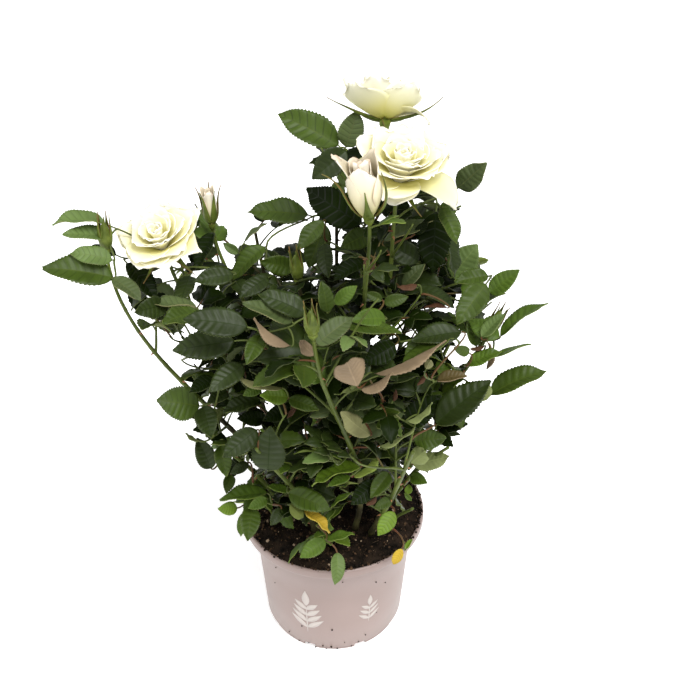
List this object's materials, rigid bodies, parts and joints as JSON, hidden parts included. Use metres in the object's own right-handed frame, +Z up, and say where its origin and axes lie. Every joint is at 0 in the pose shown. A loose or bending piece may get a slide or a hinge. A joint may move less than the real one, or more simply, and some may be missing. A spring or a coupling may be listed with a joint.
{
  "type": "potted rose bush",
  "caption": "Bushy small rose with slender green canes, toothed compound leaves, open cream-white blooms and buds, growing in peat in a round tapered plastic pot with a rolled rim.",
  "frame": {"origin": "centre of the pot's flat underside, on the surface that the plant stands on", "axes": "+Z up along the pot's axis, -Y towards the front of the plant, +X to the right seen from the front"},
  "size_m": [0.278, 0.215, 0.3802],
  "materials": {
    "pot_plastic": "satin taupe",
    "peat": "moist crumbly peat",
    "green_stem": "smooth young green bark",
    "leaf": "slightly glossy leaf",
    "petal": "soft cream-white petal"
  },
  "bodies": {
    "root": {"bloom_left": "petal", "bloom_middle": "petal", "bloom_top": "petal", "bough_half_open_bud": "green_stem", "bough_small_bud": "green_stem", "bud_half_open": "petal", "bud_small": "petal", "cane_back": "green_stem", "cane_back_left": "green_stem", "cane_back_low": "green_stem", "cane_back_right": "green_stem", "cane_centre": "green_stem", "cane_far_left": "green_stem", "cane_front_bud": "green_stem", "cane_front_left": "green_stem", "cane_front_right": "green_stem", "cane_left_back": "green_stem", "cane_left_bloom": "green_stem", "cane_left_low": "green_stem", "cane_middle_bloom": "green_stem", "cane_right_back": "green_stem", "cane_right_bud": "green_stem", "cane_right_low": "green_stem", "cane_top_bloom": "green_stem", "foliage_back": "leaf", "foliage_back_left": "leaf", "foliage_back_low": "leaf", "foliage_back_right": "leaf", "foliage_centre": "leaf", "foliage_far_left": "leaf", "foliage_front_bud": "leaf", "foliage_front_left": "leaf", "foliage_front_right": "leaf", "foliage_half_open_bud": "leaf", "foliage_left_back": "leaf", "foliage_left_bloom": "leaf", "foliage_left_low": "leaf", "foliage_middle_bloom": "leaf", "foliage_right_back": "leaf", "foliage_right_bud": "leaf", "foliage_right_low": "leaf", "foliage_small_bud": "leaf", "foliage_sprout_back": "leaf", "foliage_sprout_back_left": "leaf", "foliage_sprout_front": "leaf", "foliage_sprout_left": "leaf", "foliage_sprout_right": "leaf", "foliage_top_bloom": "leaf", "pot": "pot_plastic", "soil": "peat"}
  },
  "joints": []
}
